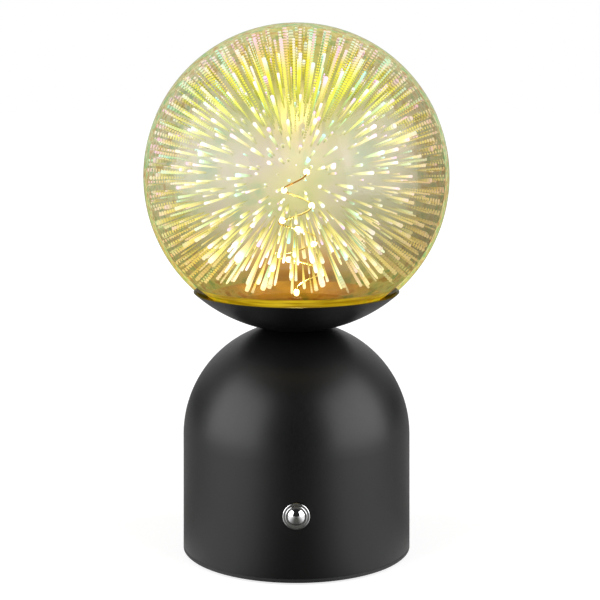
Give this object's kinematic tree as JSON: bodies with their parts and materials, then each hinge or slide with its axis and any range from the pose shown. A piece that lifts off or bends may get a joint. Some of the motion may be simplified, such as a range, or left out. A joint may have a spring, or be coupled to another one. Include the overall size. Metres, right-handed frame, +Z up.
{
  "type": "battery table lamp",
  "caption": "Battery table lamp: mirrored glass globe over a light wire, in a thin bowl on a domed black base with a push button and a twist-off battery door.",
  "frame": {"origin": "on the table under the middle of the lamp", "axes": "+Z up through the globe, the push button faces -Y, +X to the right seen from the front"},
  "size_m": [0.12, 0.12, 0.2112],
  "materials": {
    "shell_paint": "satin black powder coat on drawn steel",
    "cover_plastic": "satin black moulded plastic",
    "foot_rubber": "matte soft foot ring",
    "steel": "satin zinc-plated steel",
    "spring_steel": "polished spring wire",
    "contact_metal": "satin plated contact strip",
    "holder_plastic": "matte dark grey moulded plastic",
    "holder_black": "satin black moulded plastic",
    "cell_wrap": "gloss plain cell wrap",
    "board_laminate": "satin green circuit laminate",
    "chip_plastic": "matte black moulded chip",
    "plug_plastic": "satin off-white plug housing",
    "lead_sleeve": "gloss lead insulation",
    "nut_brass": "satin turned brass",
    "bush_rubber": "matte grommet rubber",
    "saddle_plastic": "matte moulded washer",
    "seal_silicone": "satin black silicone",
    "globe_glass": "polished blown glass with a mirrored inner film",
    "light_copper": "polished copper wire",
    "bead_resin": "gloss resin over a warm white light",
    "button_chrome": "polished chrome",
    "plunger_plastic": "matte moulded plunger"
  },
  "bodies": {
    "lamp": {"base_shell": "shell_paint", "cover_lugs": "steel", "bottom_cover": "cover_plastic", "cover_screws": "steel", "foot_ring": "foot_rubber", "battery_holder": "holder_plastic", "holder_screws": "steel", "battery_cells": "cell_wrap", "contact_board": "board_laminate", "contact_pads": "contact_metal", "contact_plates": "contact_metal", "contact_springs": "spring_steel", "main_board": "board_laminate", "main_board_screws": "steel", "board_chips": "chip_plastic", "lead_connectors": "plug_plastic", "battery_leads": "lead_sleeve", "neck_stem": "steel", "lock_washer": "steel", "stem_nut": "steel", "stem_bush": "bush_rubber", "bowl": "shell_paint", "bowl_nut": "nut_brass", "wire_holder": "holder_black", "light_wire": "light_copper", "light_beads": "bead_resin", "globe_seal": "seal_silicone", "globe": "globe_glass", "button_collar": "button_chrome", "button_sleeve": "button_chrome", "button_spring": "spring_steel", "saddle_washer": "saddle_plastic", "sleeve_nut": "nut_brass", "switch_bracket": "steel", "switch_body": "chip_plastic", "switch_board": "board_laminate", "switch_screws": "steel", "switch_leads": "lead_sleeve", "lamp_leads": "lead_sleeve"},
    "button": {"button_cap": "button_chrome", "button_clip": "steel"},
    "plunger": {"switch_plunger": "plunger_plastic"},
    "battery_door": {"battery_door": "cover_plastic"}
  },
  "joints": [
    {"name": "button_press", "type": "slide", "parent": "lamp", "child": "button", "axis": [0, 1, 0], "range_m": [0, 0.001], "stiffness_N_per_m": 900, "springref_m": -0.0012, "deforming": ["button_spring"]},
    {"name": "plunger_slide", "type": "slide", "parent": "lamp", "child": "plunger", "axis": [0, 1, 0], "range_m": [0, 0.001]},
    {"name": "battery_door_twist", "type": "hinge", "parent": "lamp", "child": "battery_door", "pos_m": [0, 0, 0.0018], "axis": [0, 0, 1], "range_deg": [0, 30]}
  ],
  "couplings": [
    {"joint": "plunger_slide", "follows": "button_press", "ratio": 1}
  ]
}
